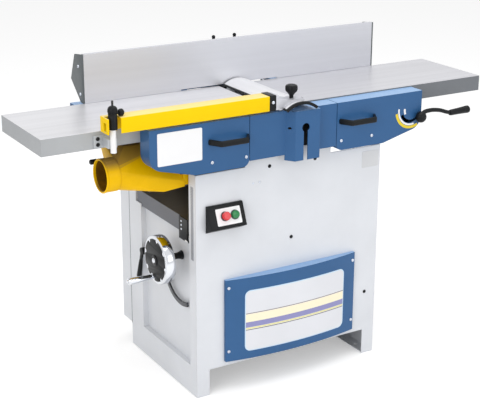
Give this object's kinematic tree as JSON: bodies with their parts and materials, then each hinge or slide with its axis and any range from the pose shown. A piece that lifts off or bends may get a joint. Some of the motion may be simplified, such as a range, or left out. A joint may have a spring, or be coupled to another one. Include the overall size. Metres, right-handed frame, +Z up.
{
  "type": "combination planer thicknesser",
  "caption": "Floor-standing surface planer and thicknesser with fold-up tables, tilting fence, bridge guard, dust hood and a hand-cranked thicknessing table on a sheet cabinet.",
  "frame": {"origin": "on the floor, at the middle of the overall length and depth", "axes": "+X along the surfacing tables from the outfeed end to the infeed end, -Y towards the operator, +Z up"},
  "size_m": [1.568, 0.606, 1.0525],
  "materials": {
    "white_paint": "powder coat, light texture",
    "blue_paint": "powder coat, satin",
    "grey_paint": "paint, matt",
    "black_plastic": "moulded, fine grain",
    "red_plastic": "moulded, gloss",
    "green_plastic": "moulded, gloss",
    "cast_grey": "as cast",
    "cast_table": "ground top, as cast sides",
    "ground_steel": "ground",
    "dark_steel": "oiled",
    "black_steel": "blackened, satin",
    "belt_rubber": "matt",
    "chrome": "polished",
    "hood_yellow": "moulded, satin",
    "guard_yellow": "powder coat, gloss",
    "fence_alu": "fine satin anodised",
    "dark_plastic": "moulded, satin"
  },
  "bodies": {
    "frame": {"cabinet_front": "white_paint", "cabinet_rear": "white_paint", "cabinet_left": "white_paint", "cabinet_right": "white_paint", "base_tray": "grey_paint", "rear_cover": "white_paint", "badge_panel": "blue_paint", "switch_box": "black_plastic", "front_side_plate": "cast_grey", "rear_side_plate": "cast_grey", "cutter_bearings": "ground_steel", "feed_chain": "dark_steel", "finger_shaft": "ground_steel", "motor": "grey_paint", "drive_belt": "belt_rubber", "column_sleeve": "cast_grey", "gearbox": "cast_grey", "shaft_flange": "black_steel", "hinge_brackets": "grey_paint", "centre_cover": "blue_paint"},
    "outfeed_wing": {"left_table": "cast_table", "left_beam": "blue_paint", "left_handle": "black_plastic", "left_rear_beam": "blue_paint", "guard_post": "fence_alu"},
    "infeed_wing": {"right_beam": "blue_paint", "right_handle": "black_plastic", "right_rear_beam": "blue_paint"},
    "infeed_table": {"right_table": "cast_table"},
    "height_lever": {"height_lever": "black_steel"},
    "fence_slide": {"fence_slide": "ground_steel"},
    "fence": {"fence_plate": "fence_alu", "fence_ends": "dark_plastic", "fence_bracket": "grey_paint"},
    "fence_levers": {"fence_levers": "black_plastic"},
    "guard_arm": {"guard_arm": "guard_yellow", "guard_sleeve": "black_plastic", "guard_carrier": "fence_alu"},
    "guard_post_knob": {"guard_post_knob": "black_plastic"},
    "guard_knob": {"guard_knob": "black_plastic"},
    "guard_bridge": {"guard_bridge": "fence_alu"},
    "cutter": {"cutterblock": "ground_steel", "knives": "ground_steel"},
    "motor_rotor": {"motor_pulley": "cast_grey"},
    "infeed_roller": {"infeed_roller": "ground_steel"},
    "outfeed_roller": {"outfeed_roller": "ground_steel"},
    "kickback_fingers": {"kickback_fingers": "dark_steel"},
    "thickness_bed": {"thickness_table": "cast_table", "lift_column": "ground_steel", "table_pointer": "black_steel"},
    "lift_screw": {"lift_screw": "ground_steel"},
    "handwheel": {"handwheel_rim": "chrome", "handwheel_disc": "black_plastic", "handwheel_shaft": "black_steel"},
    "crank_grip": {"crank_grip": "chrome"},
    "lock_lever": {"lock_lever": "chrome"},
    "feed_lever": {"feed_lever": "black_plastic"},
    "dust_hood": {"dust_hood": "hood_yellow"},
    "stop_button": {"stop_button": "red_plastic"},
    "start_button": {"start_button": "green_plastic"}
  },
  "joints": [
    {"name": "outfeed_fold", "type": "hinge", "parent": "frame", "child": "outfeed_wing", "pos_m": [-0.25, 0.262, 0.85], "axis": [-1, 0, 0], "range_deg": [0, 90]},
    {"name": "infeed_fold", "type": "hinge", "parent": "frame", "child": "infeed_wing", "pos_m": [0.28, 0.262, 0.85], "axis": [-1, 0, 0], "range_deg": [0, 90]},
    {"name": "infeed_height", "type": "slide", "parent": "infeed_wing", "child": "infeed_table", "axis": [0, 0, 1], "range_m": [-0.004, 0]},
    {"name": "height_lever_swing", "type": "hinge", "parent": "infeed_wing", "child": "height_lever", "pos_m": [0.452, -0.23, 0.835], "axis": [0, 1, 0], "range_deg": [0, 110]},
    {"name": "fence_slide", "type": "slide", "parent": "outfeed_wing", "child": "fence_slide", "axis": [0, -1, 0], "range_m": [0, 0.1]},
    {"name": "fence_tilt", "type": "hinge", "parent": "fence_slide", "child": "fence", "pos_m": [0.01, 0.132, 0.922], "axis": [-1, 0, 0], "range_deg": [0, 45]},
    {"name": "fence_lever_turn", "type": "hinge", "parent": "fence", "child": "fence_levers", "pos_m": [0.01, 0.172, 0.98], "axis": [1, 0, 0], "range_deg": [-35, 35]},
    {"name": "guard_lift", "type": "slide", "parent": "outfeed_wing", "child": "guard_arm", "axis": [0, 0, 1], "range_m": [0, 0.07]},
    {"name": "guard_post_knob_turn", "type": "hinge", "parent": "guard_arm", "child": "guard_post_knob", "pos_m": [-0.588, -0.252, 0.96], "axis": [0, 0, 1], "range_deg": [-180, 180]},
    {"name": "guard_knob_turn", "type": "hinge", "parent": "guard_arm", "child": "guard_knob", "pos_m": [0.004, -0.245, 0.95], "axis": [0, 0, 1], "range_deg": [-180, 180]},
    {"name": "guard_bridge_slide", "type": "slide", "parent": "guard_arm", "child": "guard_bridge", "axis": [0, -1, 0], "range_m": [0, 0.1]},
    {"name": "cutter_spin", "type": "hinge", "parent": "frame", "child": "cutter", "pos_m": [0.006, 0, 0.864], "axis": [0, 1, 0], "continuous": true},
    {"name": "motor_spin", "type": "hinge", "parent": "frame", "child": "motor_rotor", "pos_m": [0.19, 0.17, 0.23], "axis": [0, 1, 0], "continuous": true},
    {"name": "infeed_roller_spin", "type": "hinge", "parent": "frame", "child": "infeed_roller", "pos_m": [-0.079, 0, 0.848], "axis": [0, 1, 0], "continuous": true},
    {"name": "outfeed_roller_spin", "type": "hinge", "parent": "frame", "child": "outfeed_roller", "pos_m": [0.091, 0, 0.848], "axis": [0, 1, 0], "continuous": true},
    {"name": "kickback_swing", "type": "hinge", "parent": "frame", "child": "kickback_fingers", "pos_m": [-0.132, 0, 0.855], "axis": [0, -1, 0], "range_deg": [0, 30]},
    {"name": "handwheel_turn", "type": "hinge", "parent": "frame", "child": "handwheel", "pos_m": [-0.3, -0.108, 0.436], "axis": [1, 0, 0], "range_deg": [0, 7200]},
    {"name": "bed_lift", "type": "slide", "parent": "frame", "child": "thickness_bed", "axis": [0, 0, 1], "range_m": [0, 0.08]},
    {"name": "lift_screw_turn", "type": "hinge", "parent": "frame", "child": "lift_screw", "pos_m": [-0.185, -0.108, 0.25], "axis": [0, 0, 1], "range_deg": [0, 7200]},
    {"name": "crank_spin", "type": "hinge", "parent": "handwheel", "child": "crank_grip", "pos_m": [-0.436, -0.08543, 0.37398], "axis": [1, 0, 0], "continuous": true},
    {"name": "bed_lock_swing", "type": "hinge", "parent": "frame", "child": "lock_lever", "pos_m": [-0.305, -0.022, 0.346], "axis": [1, 0, 0], "range_deg": [-12, 12]},
    {"name": "feed_lever_swing", "type": "hinge", "parent": "frame", "child": "feed_lever", "pos_m": [-0.318, 0.116, 0.378], "axis": [1, 0, 0], "range_deg": [0, 45]},
    {"name": "hood_pull", "type": "slide", "parent": "frame", "child": "dust_hood", "axis": [-1, 0, 0], "range_m": [0, 0.25]},
    {"name": "stop_press", "type": "slide", "parent": "frame", "child": "stop_button", "axis": [0, 0.9247, -0.3808], "range_m": [0, 0.004], "stiffness_N_per_m": 900},
    {"name": "start_press", "type": "slide", "parent": "frame", "child": "start_button", "axis": [0, 0.9247, -0.3808], "range_m": [0, 0.004], "stiffness_N_per_m": 900}
  ],
  "couplings": [
    {"joint": "infeed_fold", "follows": "outfeed_fold", "ratio": 1},
    {"joint": "height_lever_swing", "follows": "infeed_height", "rad_per_m": -479.9},
    {"joint": "guard_bridge_slide", "follows": "fence_slide", "ratio": 1},
    {"joint": "motor_spin", "follows": "cutter_spin", "ratio": 0.51923},
    {"joint": "outfeed_roller_spin", "follows": "infeed_roller_spin", "ratio": 1},
    {"joint": "bed_lift", "follows": "handwheel_turn", "m_per_rad": 0.000636},
    {"joint": "lift_screw_turn", "follows": "handwheel_turn", "ratio": 1}
  ]
}
